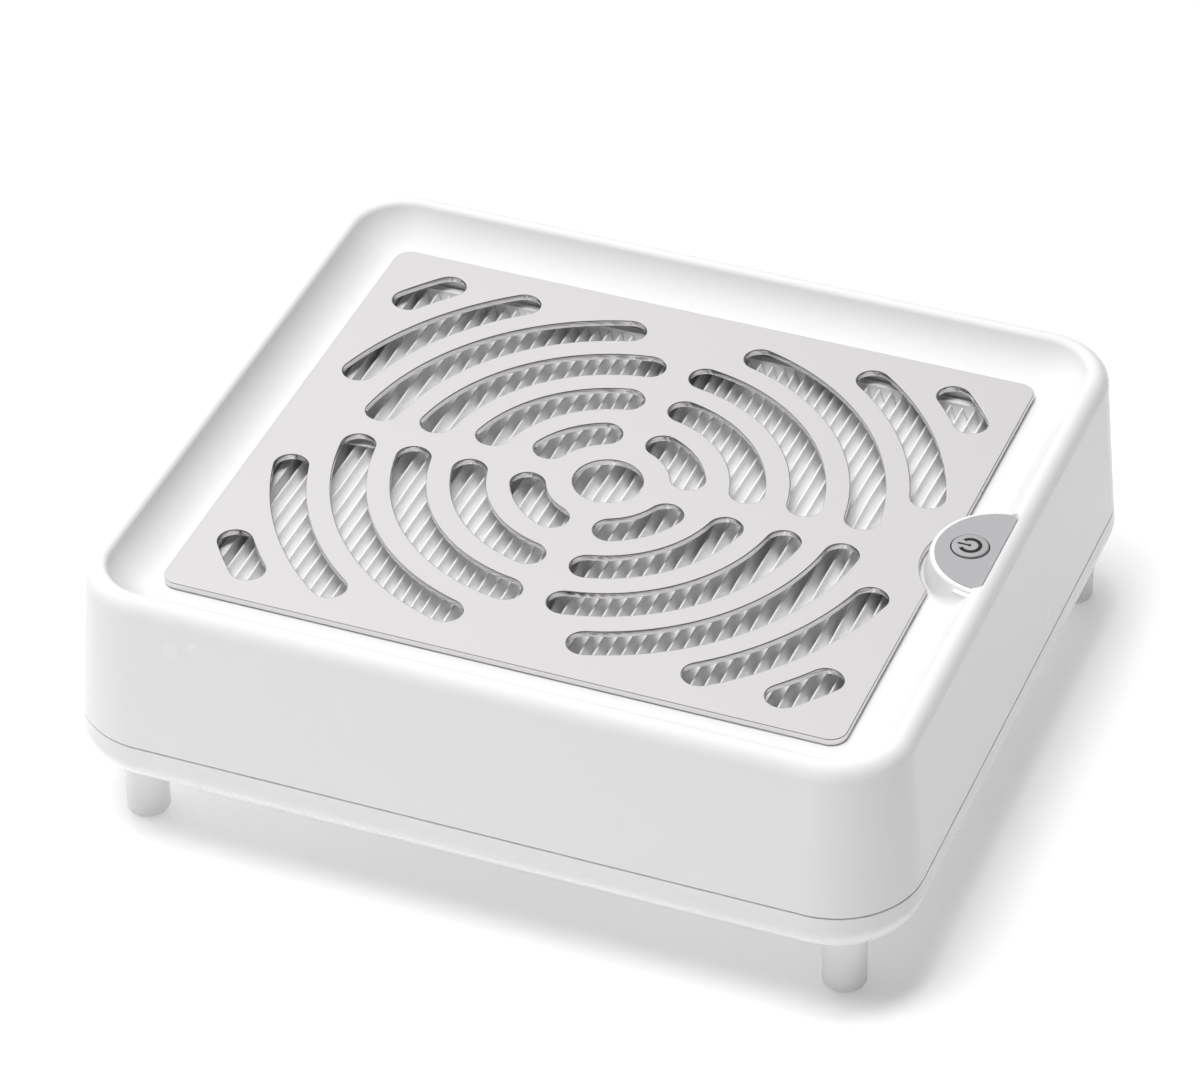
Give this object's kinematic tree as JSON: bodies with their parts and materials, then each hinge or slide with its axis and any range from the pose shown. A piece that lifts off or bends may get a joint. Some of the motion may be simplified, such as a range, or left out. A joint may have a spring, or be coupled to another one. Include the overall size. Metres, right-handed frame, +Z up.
{
  "type": "nail dust collector",
  "caption": "Tabletop nail dust extractor: a low rounded white box on short round legs, with a slotted steel top plate over a lift-out pleated filter and an axial fan.",
  "frame": {"origin": "on the table, under the centre of the box", "axes": "+X along the length, towards the button; +Y towards the back; +Z up"},
  "size_m": [0.2276, 0.2036, 0.0772],
  "materials": {
    "shell_white": "smooth high gloss",
    "plate_steel": "fine satin, bright cut edges",
    "panel_silver": "satin silver",
    "button_silver": "satin silver",
    "filter_fleece": "pleated fibre fleece",
    "foam_dark": "matte closed-cell foam",
    "pad_rubber": "matte",
    "black_plastic": "matte",
    "zinc_steel": "bright zinc plating",
    "copper_wire": "lacquered windings",
    "board_green": "solder mask"
  },
  "bodies": {
    "housing": {"upper_housing": "shell_white", "bottom_cover": "shell_white", "foot_front_left": "shell_white", "foot_front_right": "shell_white", "foot_rear_left": "shell_white", "foot_rear_right": "shell_white", "foot_pad_front_left": "pad_rubber", "foot_pad_front_right": "pad_rubber", "foot_pad_rear_left": "pad_rubber", "foot_pad_rear_right": "pad_rubber", "foot_screw_front_left": "zinc_steel", "foot_screw_front_right": "zinc_steel", "foot_screw_rear_left": "zinc_steel", "foot_screw_rear_right": "zinc_steel", "button_panel": "panel_silver", "filter_gasket": "foam_dark", "fan_frame": "black_plastic", "bearing_lower": "zinc_steel", "bearing_upper": "zinc_steel", "stator": "copper_wire", "fan_board": "board_green", "fan_guard": "zinc_steel", "fan_screw_1": "zinc_steel", "fan_screw_2": "zinc_steel", "fan_screw_3": "zinc_steel", "fan_screw_4": "zinc_steel", "control_board": "board_green", "switch_body": "black_plastic", "motor_driver_chip": "black_plastic", "board_capacitor": "black_plastic", "board_screw_rear": "zinc_steel", "board_screw_front": "zinc_steel", "dc_inlet": "black_plastic", "dc_inlet_nut": "zinc_steel", "fan_lead": "black_plastic", "supply_lead": "black_plastic"},
    "filter": {"filter_frame": "shell_white", "filter_media": "filter_fleece", "filter_pull_tab": "filter_fleece"},
    "grille": {"grille_plate": "plate_steel"},
    "button": {"power_button": "button_silver", "switch_plunger": "black_plastic"},
    "rotor": {"impeller": "black_plastic", "rotor_cup": "zinc_steel", "motor_shaft": "zinc_steel"}
  },
  "joints": [
    {"name": "grille_lift", "type": "slide", "parent": "housing", "child": "grille", "axis": [0, 0, 1], "range_m": [0, 0.12]},
    {"name": "filter_lift", "type": "slide", "parent": "housing", "child": "filter", "axis": [0, 0, 1], "range_m": [0, 0.06]},
    {"name": "power_button_press", "type": "slide", "parent": "housing", "child": "button", "axis": [0, 0, -1], "range_m": [0, 0.0008], "stiffness_N_per_m": 1000, "springref_m": -0.001},
    {"name": "impeller_spin", "type": "hinge", "parent": "housing", "child": "rotor", "pos_m": [0, 0, 0.0335], "axis": [0, 0, 1], "continuous": true}
  ],
  "couplings": [
    {"joint": "filter_lift", "follows": "grille_lift", "ratio": 0.5}
  ]
}
